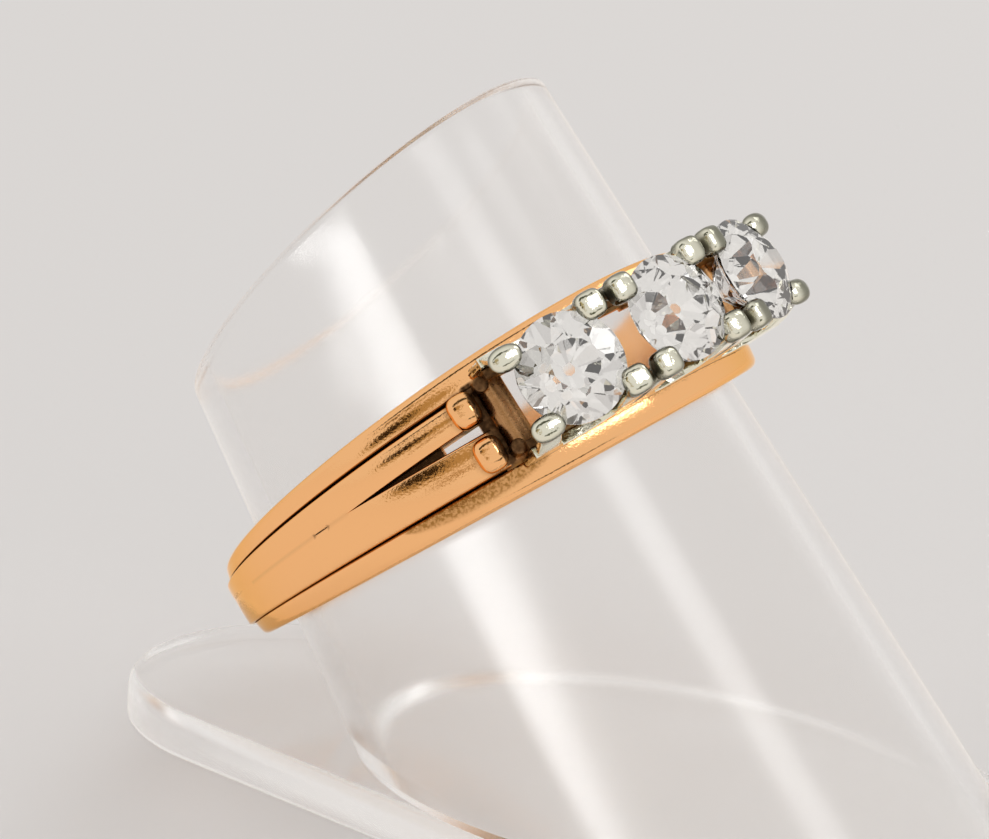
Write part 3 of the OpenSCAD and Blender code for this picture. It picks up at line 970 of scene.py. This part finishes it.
def stretch(tree, value, low, high, to_low, to_high, **settings):
    """Maps the range from low to high to the range from to_low to to_high."""
    ends = {"Value": value, "From Min": low, "From Max": high, "To Min": to_low, "To Max": to_high}
    return add_node(tree, "MapRange", ends, **settings).outputs["Result"]


def mix(tree, share, below, above):
    """The colour below where share is 0, and above where it is 1."""
    node = add_node(tree, "Mix", {}, data_type="RGBA")
    feed(tree, node, {"Factor": share, "A": below, "B": above})
    return node.outputs["Result"]


def mesh_mask(tree, name):
    """A mask that the mesh keeps."""
    return add_node(tree, "Attribute", {}, attribute_name=name).outputs["Fac"]


def own_place(tree):
    """The place on the piece, which stays with it when it moves."""
    return tree.nodes.new("ShaderNodeTexCoord").outputs["Object"]


# %% [markdown]
# Two effects are shared by several finishes, so each is a node group: a fine grain that makes polish look
# worn or hazy, and painted shade, which darkens a metal's colour where its mask says and dulls it there.

# %% Node groups


def new_group(name, inputs, outputs):
    """An empty node group, whose sockets are given as names and kinds."""
    group = bpy.data.node_groups.new(name, "ShaderNodeTree")
    for side, sockets in (("INPUT", inputs), ("OUTPUT", outputs)):
        for label, kind in sockets.items():
            group.interface.new_socket(label, in_out=side, socket_type="NodeSocket" + kind)
    return group, group.nodes.new("NodeGroupInput").outputs, group.nodes.new("NodeGroupOutput")


grain, given, made = new_group(
    "worn_grain", {"Place": "Vector", "Size mm": "Float", "Smooth": "Float", "Rough": "Float"},
    {"Roughness": "Float", "Height": "Float"})
scale = math_node(grain, "DIVIDE", 1 / MM, given["Size mm"])
cloud = noise(grain, given["Place"], scale, 3)
feed(grain, made, {"Roughness": stretch(grain, cloud, 0.3, 0.7, given["Smooth"], given["Rough"]),
                   "Height": cloud})

PATCH_SIZE = 0.16
DULLING = 0.4
# Painted shade: where the mask is high the colour turns to the shade colour, and the metal gets duller.
painted_shade, given, made = new_group(
    "painted_shade", {"Place": "Vector", "Clean": "Color", "Painted shade": "Color", "Mask": "Float", "Roughness": "Float"},
    {"Color": "Color", "Roughness": "Float"})
patchy = stretch(painted_shade, noise(painted_shade, given["Place"], 1 / (PATCH_SIZE * MM), 4), 0.3, 0.7, 0.9, 1.1)
amount = math_node(painted_shade, "MULTIPLY", patchy, given["Mask"], clamp=True)
feed(painted_shade, made, {"Color": mix(painted_shade, amount, given["Clean"], given["Painted shade"]),
                     "Roughness": math_node(painted_shade, "MULTIPLY_ADD", amount, DULLING, given["Roughness"])})
print("groups:", [group.name for group in bpy.data.node_groups])

# %% [markdown]
# Each finish is a Principled shader. What is the same all over is set on the shader's own sockets, and what
# changes over the surface comes from the groups above, which read the Object coordinates or the painted shade
# mask.

# %% Helpers for the finishes


def new_material(name, **values):
    """A material with its node tree and its shader, whose sockets are named with underscores for spaces."""
    material = bpy.data.materials.new(name)
    material.use_nodes = True
    tree = material.node_tree
    shader = tree.nodes["Principled BSDF"]
    feed(tree, shader, {label.replace("_", " "): value for label, value in values.items()})
    return material, tree, shader


def worn(tree, size, smooth, rough):
    """The worn grain, placed in a material: its size is in millimetres."""
    values = {"Place": own_place(tree), "Size mm": size, "Smooth": smooth, "Rough": rough}
    return add_node(tree, "Group", values, node_tree=grain).outputs


def metal(name, clean, painted_shade_colour, edge, size, smooth, rough, depth):
    """A worn metal: grain drives roughness and bump, and the painted shade mask darkens the colour."""
    material, tree, shader = new_material(name, Metallic=1.0, Specular_Tint=(*edge, 1))
    wear = worn(tree, size, smooth, rough)
    values = {"Place": own_place(tree), "Clean": (*clean, 1), "Painted shade": (*painted_shade_colour, 1),
              "Mask": mesh_mask(tree, "painted_shade"), "Roughness": wear["Roughness"]}
    aged = add_node(tree, "Group", values, node_tree=painted_shade).outputs
    dents = add_node(tree, "Bump", {"Strength": 1.0, "Distance": depth * MM, "Height": wear["Height"]})
    feed(tree, shader, {"Base Color": aged["Color"], "Roughness": aged["Roughness"],
                        "Normal": dents.outputs["Normal"]})
    return material


def lay_over(material, share, mask, colour):
    """Lays a colour over a metal's own, by a share, where a mask on the mesh allows it."""
    tree = material.node_tree
    base = tree.nodes["Principled BSDF"].inputs["Base Color"]
    amount = math_node(tree, "MULTIPLY", share, mesh_mask(tree, mask))
    tree.links.new(mix(tree, amount, base.links[0].from_socket, (*colour, 1)), base)


# %% [markdown]
# Both golds are polished metal with years of fine wear, so they share one recipe. The yellow gold is a warm
# alloy, and its glancing reflections are tinted too. The white gold was cast and then only rubbed over, so
# its grain is coarser and deeper, and it bends the reflections on each claw.

# %% The two golds
# The second colour of each gold is the colour of its painted shade.
gold = metal("yellow_gold", clean=(0.97, 0.53, 0.235), painted_shade_colour=(0.09, 0.045, 0.02), edge=(0.92, 0.76, 0.5),
             size=0.09, smooth=0.03, rough=0.1, depth=0.0055)
white = metal("white_gold", clean=(0.8, 0.79, 0.66), painted_shade_colour=(0.1, 0.085, 0.05), edge=(1, 1, 1),
              size=0.3, smooth=0.05, rough=0.1, depth=0.03)
print("metals:", gold.name, white.name)

# %% [markdown]
# One rail gets a painted olive reflection, in fine speckles. It only tints the polish, so it is laid over the
# gold's colour and leaves the gloss alone.

# %% The painted olive reflection on the rail
SPECKLE_SIZE = 0.11
tree = gold.node_tree
speckle = noise(tree, own_place(tree), 1 / (SPECKLE_SIZE * MM), 2)
# The olive colour paints a reflection on the near rail.
lay_over(gold, stretch(tree, speckle, 0.4, 0.6, 0.5, 1), "painted_reflection", (0.4, 0.19, 0.05))
print("film speckles, mm:", SPECKLE_SIZE)

# %% [markdown]
# Each claw head is a small convex mirror, and towards its rim it shows the dark gaps beside it. A painted
# dark
# reflection adds to that: Layer Weight darkens the colour where the surface turns away, and the second mask
# keeps that to the heads.

# %% Painted dark reflections on the claw rims
tree = white.node_tree
facing = add_node(tree, "LayerWeight", {"Blend": 0.5}).outputs["Facing"]
rim = stretch(tree, facing, 0.14, 0.62, 0, 0.92, interpolation_type="SMOOTHSTEP")
# The dark colour is a painted reflection on the heads' rims.
lay_over(white, rim, "head", (0.12, 0.12, 0.08))
print("nodes of the white gold:", len(tree.nodes))

# %% [markdown]
# A clean diamond is as clear as water, and its life is all in its facets and its high refractive index. A
# century of wear leaves it a trace of haze. The clear plastic is made the same way, with more haze. Its index
# is set below the real one of 1.49, so that its edges stay as pale as they look on the real stand.

# %% The clear finishes


def clear_finish(name, colour, index, gloss, size, smooth, rough):
    """A clear material whose roughness wanders between two small values."""
    material, tree, shader = new_material(name, Transmission_Weight=1.0, IOR=index, Specular_IOR_Level=gloss,
                                          Base_Color=(*colour, 1))
    feed(tree, shader, {"Roughness": worn(tree, size, smooth, rough)["Roughness"]})
    return material


diamond = clear_finish("diamond", (0.99, 0.987, 0.965), 2.42, 0.5, size=0.8, smooth=0.0, rough=0.03)
clear = clear_finish("clear_acrylic", (0.99, 0.985, 0.98), 1.25, 1.0, size=6.0, smooth=0.12, rough=0.18)
print("clear finishes:", diamond.name, clear.name)

# %% [markdown]
# Light that bounced off the paper should pass the thin plastic and go on, and light that has been trapped
# between the walls for long should leave. So a clear piece counts as more or less empty for such rays, and
# the plastic's edges stay pale.

# %% Let trapped and scattered light out


def let_out(material, scatter_share, last_depth):
    """Makes a clear material empty for scattered and shadow rays, by a share, and for rays past a depth."""
    tree = material.node_tree
    ray = tree.nodes.new("ShaderNodeLightPath").outputs
    scattered = math_node(tree, "MAXIMUM", ray["Is Shadow Ray"], ray["Is Diffuse Ray"])
    solid = math_node(tree, "MULTIPLY_ADD", scattered, -scatter_share, 1)
    early = math_node(tree, "LESS_THAN", ray["Ray Depth"], last_depth + 0.5)
    feed(tree, tree.nodes["Principled BSDF"], {"Alpha": math_node(tree, "MULTIPLY", solid, early)})


let_out(clear, 0.9, 4)
let_out(diamond, 0.3, 7)
print("light let out of:", clear.name, diamond.name)

# %% Put each finish on its pieces
finishes = {"yellow_gold": gold, "white_gold": white, "diamond": diamond, "clear_acrylic": clear}
for piece, node, slot in dressed:
    piece.data.materials.clear()
    piece.data.materials.append(finishes[slot])
print("finishes placed:", sorted(finishes))

# %% [markdown]
# ## Floor and light
# Small jewels are photographed in a tent of white cloth: light comes from everywhere, the paper floor and the
# cloth have nearly the same brightness, and clear things all but vanish in it. The paper is a little brighter
# in mirrors than it looks to the camera, as if the sheet in front of the jewel were lit more than the sheet
# behind it.

# %% Floor and tent
# The room's measures are in metres.
FLOOR_HALF = 1.2
FLOOR_DROP = 0.00003
TENT = (0.85, 0.825, 0.80)
MIRROR_GLOW = 0.17


def flat_face(name, outline, material):
    """A flat piece of the surroundings: one face inside its outline."""
    mesh = bpy.data.meshes.new(name)
    mesh.from_pydata(outline, [], [list(range(len(outline)))])
    mesh.materials.append(material)
    piece = add_object(name, mesh)
    return piece


paper, tree, shader = new_material("paper", Base_Color=(0.765, 0.757, 0.757, 1), Roughness=0.9,
                                   Specular_IOR_Level=0, Emission_Color=(1.0, 0.85, 0.7, 1))
ray = tree.nodes.new("ShaderNodeLightPath").outputs
mirrored = math_node(tree, "SUBTRACT", ray["Is Glossy Ray"], ray["Is Transmission Ray"], clamp=True)
feed(tree, shader, {"Emission Strength": math_node(tree, "MULTIPLY", mirrored, MIRROR_GLOW)})
corners = [(x * FLOOR_HALF, y * FLOOR_HALF, -FLOOR_DROP) for x, y in ((-1, -1), (1, -1), (1, 1), (-1, 1))]
flat_face("floor", corners, paper)
print("floor drop, mm:", FLOOR_DROP / MM)

world = bpy.data.worlds.new("tent")
world.use_nodes = True
bpy.context.scene.world = world
world.node_tree.nodes["Background"].inputs["Color"].default_value = (*TENT, 1)
world.node_tree.nodes["Background"].inputs["Strength"].default_value = 1.0

# %% [markdown]
# Polished gold and clear plastic show what is around them. Directions are given by an angle round an axis and
# a height above its plane, in degrees, in the ring's frame, the tube's or the room's. One big lamp lights the
# room. Four more are seen only in mirrors: three draw the pale streaks on the tube, and one is for the two
# golds. Five dim oval cards, seen only in mirrors, paint dark reflections in the metals, where they would
# mirror the unlit room behind the camera.

# %% Where lamps and cards stand
ROOM = Matrix.Identity(3)
RING = RING_FRAME.to_3x3()
TUBE = TUBE_FRAME.to_3x3()
band_turn = radians(-57)
band_point = RING_FRAME @ Vector((10 * cos(band_turn), 10 * sin(band_turn), 0)) * MM
centre_point = ring_centre * MM
print("band point, mm:", [round(c / MM, 2) for c in band_point])


def looking_in(frame_of, azimuth, height, distance, aim, roll=0):
    """A matrix at a distance from aim, -Z towards it, X along the azimuth's circle, turned by roll."""
    a, h = radians(azimuth), radians(height)
    away = frame_of @ Vector((cos(h) * cos(a), cos(h) * sin(a), sin(h)))
    along = frame_of @ Vector((-sin(a), cos(a), 0))
    turn = Matrix((along, away.cross(along), away)).transposed().to_4x4()
    return Matrix.Translation(aim + distance * away) @ turn @ Matrix.Rotation(radians(roll), 4, "Z")


# %% Lamps and cards


def lit_group(name, pieces):
    """A collection for light linking, so that a lamp shows in these pieces alone."""
    group = bpy.data.collections.new(name)
    for piece in pieces:
        group.objects.link(piece)
    return group


def softbox(name, place, size, radiance, mirrors_only=True, lit=None):
    """A rectangular lamp, in metres. Its power is radiance times pi times its area."""
    light = bpy.data.lights.new(name, "AREA")
    light.shape = "RECTANGLE"
    light.size, light.size_y = size
    light.energy = radiance * pi * size[0] * size[1]
    lamp = add_object(name, light)
    lamp.matrix_world = place
    lamp.visible_diffuse = not mirrors_only
    if lit:
        lamp.light_linking.receiver_collection = lit


def card(name, place, radii, glow):
    """An oval card that glows dimly and shows only in mirror reflections, where it paints a dark reflection.
    """
    around = np.linspace(0, 2 * pi, 48, endpoint=False)
    outline = np.stack([radii[0] * np.cos(around), radii[1] * np.sin(around), 0 * around], axis=-1)
    material, *_ = new_material(name, Base_Color=(0, 0, 0, 1), Specular_IOR_Level=0,
                                Emission_Color=(*glow, 1), Emission_Strength=1)
    piece = flat_face(name, outline.tolist(), material)
    piece.matrix_world = place
    for seen_by in ("camera", "diffuse", "transmission", "shadow"):
        setattr(piece, "visible_" + seen_by, False)


tube_only = lit_group("tube_only", [clear_tube])
metal_only = lit_group("metal_only", [shank] + plates)
softbox("key", looking_in(ROOM, 68, 47, 0.47, centre_point), (0.2, 0.2), 1.6, mirrors_only=False)
softbox("streak_right", looking_in(TUBE, -11, 4, 0.4, centre_point), (0.1, 0.12), 5.5, lit=tube_only)
softbox("streak_top", looking_in(TUBE, 13, 13, 0.4, centre_point), (0.06, 0.04), 3.5, lit=tube_only)
softbox("streak_left", looking_in(TUBE, -82, 9, 0.4, centre_point, 20), (0.25, 0.06), 12.5, lit=tube_only)
softbox("gold_lamp", looking_in(RING, 12, 6, 0.4, centre_point), (0.28, 0.13), 4.0, lit=metal_only)
# The cards paint dark reflections in the metals.
card("lens_card", looking_in(RING, -64, 18, 0.07, band_point), (0.015, 0.006), (0.03, 0.02, 0.01))
card("room_card", looking_in(RING, -57, 16, 0.2, band_point), (0.085, 0.03), (0.46, 0.37, 0.2))
card("far_card", looking_in(RING, -30, 40, 0.2, centre_point), (0.16, 0.03), (0.08, 0.08, 0.05))
card("near_card", looking_in(RING, -30, -34, 0.2, centre_point), (0.16, 0.022), (0.12, 0.12, 0.08))
card("olive_card", looking_in(RING, -52, 0, 0.2, band_point), (0.05, 0.008), (0.4, 0.3, 0.14))
print("lamps:", [light.name for light in bpy.data.lights])
